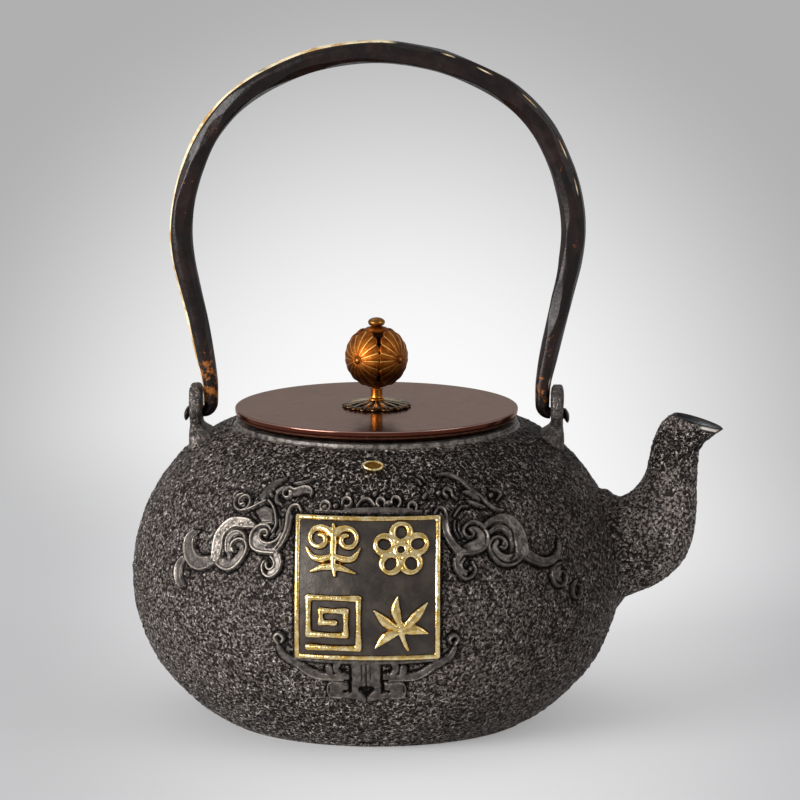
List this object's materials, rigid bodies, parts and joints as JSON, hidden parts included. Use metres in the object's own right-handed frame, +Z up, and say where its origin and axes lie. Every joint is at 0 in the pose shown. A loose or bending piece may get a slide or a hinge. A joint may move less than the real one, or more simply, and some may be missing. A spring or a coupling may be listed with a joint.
{
  "type": "cast iron kettle",
  "caption": "Round cast iron kettle with a spout, a swinging bail handle, a flat lift-off lid with an openwork ball knob and a gilt relief plaque.",
  "frame": {"origin": "centre of the flat base on the surface it rests on", "axes": "+Z up, +X towards the spout, -Y towards the plaque"},
  "size_m": [0.2068, 0.1732, 0.2384],
  "materials": {
    "cast_skin": "pebbled sand-cast skin, dark warm grey",
    "relief_iron": "smooth burnished relief",
    "plaque_iron": "smooth matte ground",
    "gilt": "polished gilding",
    "lid_bronze": "brown patina, satin",
    "knob_bronze": "antique bronze with bright edges",
    "bail_lacquer": "hammered iron under dark lacquer, gold rubbed on the outer edge"
  },
  "bodies": {
    "kettle": {"kettle_body": "cast_skin", "spout": "cast_skin", "lug_left": "cast_skin", "lug_right": "cast_skin", "relief_left": "relief_iron", "relief_right": "relief_iron", "relief_top": "relief_iron", "relief_bottom": "relief_iron", "shoulder_seal": "gilt", "plaque_ground": "plaque_iron", "plaque_frame": "gilt", "motif_cloud": "gilt", "motif_blossom": "gilt", "motif_fret": "gilt", "motif_leaf": "gilt"},
    "bail": {"bail_handle": "bail_lacquer"},
    "lid": {"lid_plate": "lid_bronze", "lid_flange": "lid_bronze", "knob_flower_washer": "knob_bronze", "knob_collar": "knob_bronze", "knob_rod": "knob_bronze", "knob_under_washer": "lid_bronze", "knob_nut": "lid_bronze"},
    "knob": {"knob_ball": "knob_bronze"}
  },
  "joints": [
    {"name": "bail_swing", "type": "hinge", "parent": "kettle", "child": "bail", "pos_m": [0, 0, 0.1074], "axis": [1, 0, 0], "range_deg": [-105, 105]},
    {"name": "lid_lift", "type": "slide", "parent": "kettle", "child": "lid", "axis": [0, 0, 1], "range_m": [0, 0.06]},
    {"name": "knob_spin", "type": "hinge", "parent": "lid", "child": "knob", "pos_m": [0, 0, 0.1271], "axis": [0, 0, 1], "continuous": true}
  ]
}
